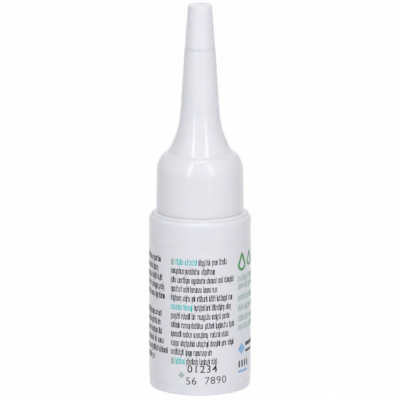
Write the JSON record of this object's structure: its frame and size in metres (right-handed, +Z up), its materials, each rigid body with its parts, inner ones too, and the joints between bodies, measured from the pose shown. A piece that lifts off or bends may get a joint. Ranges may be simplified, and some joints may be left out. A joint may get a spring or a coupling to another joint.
{
  "type": "ear drop bottle",
  "caption": "Round white squeeze bottle with a wrap-around label, a screw-on tapered dropper nozzle and a small pull-off tip cap.",
  "frame": {"origin": "middle of the bottle's foot, on the surface that it stands on", "axes": "+Z up along the bottle's axis to the tip cap, -Y towards the front of the label in the picture"},
  "size_m": [0.03, 0.03, 0.1143],
  "materials": {
    "bottle_plastic": "white polyethylene, semi-gloss",
    "label_film": "printed white film, satin",
    "plug_plastic": "natural polyethylene",
    "washer_foam": "closed-cell polyethylene foam",
    "closure_plastic": "white moulded plastic, semi-gloss",
    "cap_plastic": "white moulded plastic, semi-gloss"
  },
  "bodies": {
    "bottle": {"squeeze_bottle": "bottle_plastic", "wrap_label": "label_film", "orifice_reducer": "plug_plastic"},
    "washer": {"sealing_washer": "washer_foam"},
    "closure": {"nozzle_closure": "closure_plastic"},
    "cap": {"tip_cap": "cap_plastic"}
  },
  "joints": [
    {"name": "closure_lift", "type": "slide", "parent": "bottle", "child": "washer", "axis": [0, 0, 1], "range_m": [0, 0.0127]},
    {"name": "closure_spin", "type": "hinge", "parent": "washer", "child": "closure", "pos_m": [0, 0, 0.053], "axis": [0, 0, 1], "range_deg": [0, 1440]},
    {"name": "tip_cap_pull", "type": "slide", "parent": "closure", "child": "cap", "axis": [0, 0, 1], "range_m": [0, 0.014]}
  ],
  "couplings": [
    {"joint": "closure_spin", "follows": "closure_lift", "rad_per_m": 1979}
  ]
}
